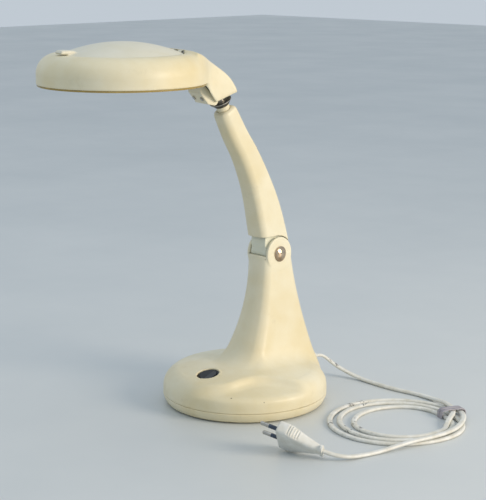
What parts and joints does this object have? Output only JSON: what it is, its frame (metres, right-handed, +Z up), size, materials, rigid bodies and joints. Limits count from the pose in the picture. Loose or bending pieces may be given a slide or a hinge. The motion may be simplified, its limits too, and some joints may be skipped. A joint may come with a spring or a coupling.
{
  "type": "magnifier lamp",
  "caption": "Desk lamp whose ring-shaped head holds a magnifying lens under a hinged lid, on a tilting arm, a hollow column and a round weighted base, with cord and plug.",
  "frame": {"origin": "on the table, under the middle of the round base", "axes": "+Z up, -Y towards the lens head, +X to the side with the shallow tray in the base"},
  "size_m": [0.3389, 0.3652, 0.384],
  "materials": {
    "cream_shell": "satin moulded plastic, slightly yellowed",
    "knuckle_plastic": "smooth",
    "felt_pad": "soft pad",
    "iron": "rough",
    "copper_winding": "varnished wire",
    "black_plastic": "satin black",
    "grey_plastic": "matt",
    "bright_bolt": "bright domed head",
    "steel": "plain",
    "white_reflector": "white enamel",
    "opal_glass": "opal coating",
    "lens_glass": "polished",
    "clear_plastic": "clear, slightly frosted",
    "cord_white": "smooth soft plastic",
    "tie_grey": "woven strap",
    "sleeve_blue": "smooth"
  },
  "bodies": {
    "base": {"ballast_weight": "iron", "base_bottom_pan": "cream_shell", "base_pad": "felt_pad", "base_screws": "steel", "base_top_shell": "cream_shell", "choke_core": "iron", "choke_winding": "copper_winding", "cord_coil": "cord_white", "cord_gland": "cord_white", "cord_lead": "cord_white", "cord_tail": "cord_white", "cord_tie": "tie_grey", "friction_washers": "steel", "pivot_bolt": "bright_bolt", "pivot_nut": "steel", "plug_body": "cord_white", "plug_pin_sleeves": "sleeve_blue", "plug_pins": "steel", "switch_housing": "black_plastic", "switch_terminals": "steel", "terminal_block": "grey_plastic"},
    "arm": {"arm_front_shell": "cream_shell", "arm_rear_cover": "cream_shell", "arm_screws": "steel", "arm_knuckle": "knuckle_plastic", "arm_tube": "steel", "arm_collar": "knuckle_plastic", "swivel_cup": "black_plastic"},
    "swivel": {"swivel_flange": "steel", "ball_stud": "steel"},
    "head": {"head_shell": "cream_shell", "reflector": "white_reflector", "ring_tube": "opal_glass", "tube_socket": "grey_plastic", "tube_clips": "steel", "tube_cover": "clear_plastic", "lens": "lens_glass", "lens_ring": "white_reflector", "neck_cover": "cream_shell", "ball_clamp": "grey_plastic", "head_screws": "steel", "lid_hinge_pin": "steel"},
    "lid": {"lid": "cream_shell"},
    "rocker": {"switch_rocker": "black_plastic"}
  },
  "joints": [
    {"name": "arm_tilt", "type": "hinge", "parent": "base", "child": "arm", "pos_m": [0, 0.036, 0.155], "axis": [1, 0, 0], "range_deg": [-20, 25]},
    {"name": "head_swivel", "type": "hinge", "parent": "arm", "child": "swivel", "pos_m": [0, -0.03, 0.3115], "axis": [0, -0.454, 0.891], "range_deg": [-77, 103]},
    {"name": "head_tilt", "type": "hinge", "parent": "swivel", "child": "head", "pos_m": [0, -0.03908, 0.32932], "axis": [0.9744, -0.225, 0], "range_deg": [-7, 12]},
    {"name": "lid_hinge", "type": "hinge", "parent": "head", "child": "lid", "pos_m": [-0.01008, -0.08273, 0.37072], "axis": [-0.9744, 0.225, 0], "range_deg": [0, 100]},
    {"name": "switch_rock", "type": "hinge", "parent": "base", "child": "rocker", "pos_m": [0, -0.05259, 0.03616], "axis": [0, 0.9613, 0.2756], "range_deg": [0, 14]}
  ]
}
